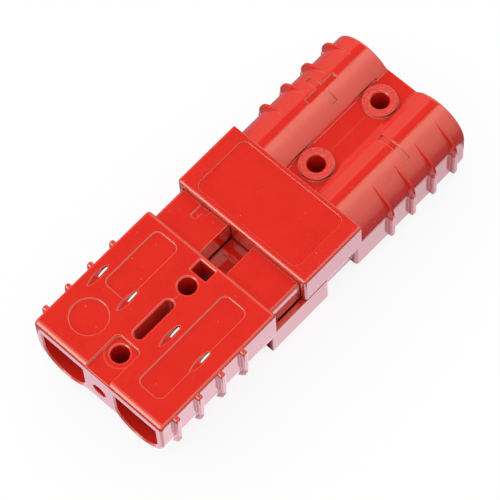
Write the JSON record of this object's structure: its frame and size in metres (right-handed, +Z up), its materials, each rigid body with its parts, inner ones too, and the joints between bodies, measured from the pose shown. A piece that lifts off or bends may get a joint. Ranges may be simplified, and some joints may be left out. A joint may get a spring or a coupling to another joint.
{
  "type": "genderless power connector",
  "caption": "Mated pair of identical genderless power connector halves, one turned over, that slide together on flat sprung contacts; moulded housings with wire barrels and screw holes.",
  "frame": {"origin": "middle of the pair's bounding box, on the plane that the near half's hood rests on", "axes": "+X along the mating direction, from the near half's wire entries to the far half's; +Y across the two poles towards the near half's plus pole; +Z up, the way the near half's flat side faces"},
  "size_m": [0.0904, 0.037, 0.0165],
  "materials": {
    "housing_plastic": "glossy moulded red thermoplastic",
    "contact_metal": null,
    "spring_steel": "rolled stainless strip"
  },
  "bodies": {
    "near_half": {"near_housing": "housing_plastic", "near_contact_plus": "contact_metal", "near_contact_minus": "contact_metal", "near_spring_plus": "spring_steel", "near_spring_minus": "spring_steel"},
    "far_half": {"far_housing": "housing_plastic", "far_contact_plus": "contact_metal", "far_contact_minus": "contact_metal", "far_spring_plus": "spring_steel", "far_spring_minus": "spring_steel"}
  },
  "joints": [
    {"name": "mating", "type": "slide", "parent": "near_half", "child": "far_half", "axis": [1, 0, 0], "range_m": [-0.0083, 0.012]}
  ]
}
